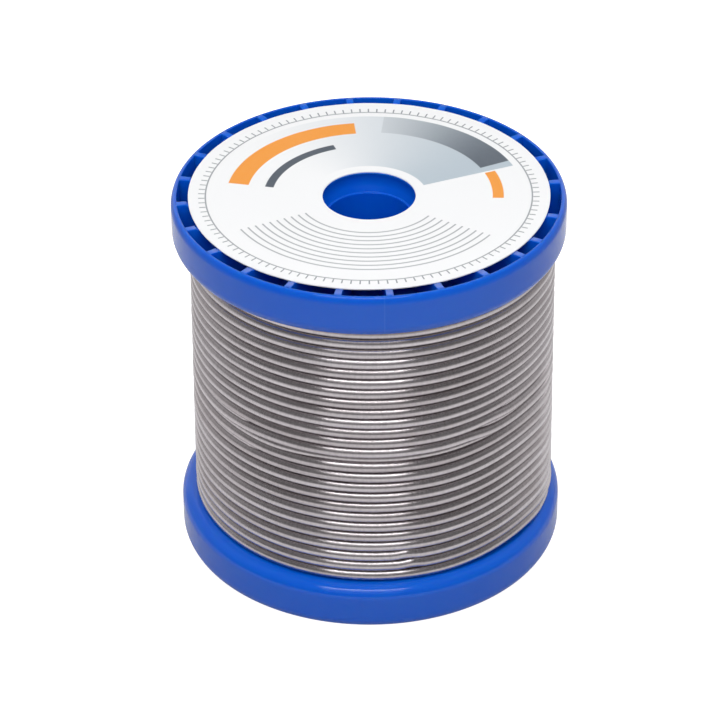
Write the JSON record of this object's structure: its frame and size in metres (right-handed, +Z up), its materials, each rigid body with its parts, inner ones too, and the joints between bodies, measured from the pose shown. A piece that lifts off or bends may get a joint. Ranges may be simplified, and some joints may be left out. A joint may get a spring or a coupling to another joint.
{
  "type": "solder wire spool",
  "caption": "Moulded plastic reel wound full of soft solder wire, with a ribbed hollow flange at each end, a paper label and an open hub for a holder's rod.",
  "frame": {"origin": "On the reel's axis, in the plane of the bottom flange's rim that it stands on.", "axes": "+Z up along the reel's axis; +Y away from the viewer of the front; +X to that viewer's right. The top flange's two closer-set ribs lie near -30 degrees from +X."},
  "size_m": [0.05, 0.05, 0.0498],
  "materials": {
    "blue_plastic": "glossy injection-moulded blue plastic",
    "label_paper": "smooth white paper label with a plain printed pattern in grey, blue and orange",
    "solder_alloy": "drawn soft solder wire, satin grey with fine draw marks"
  },
  "bodies": {
    "root": {"bottom_flange": "blue_plastic", "top_flange": "blue_plastic", "barrel": "blue_plastic", "label": "label_paper", "solder_wire": "solder_alloy"}
  },
  "joints": []
}
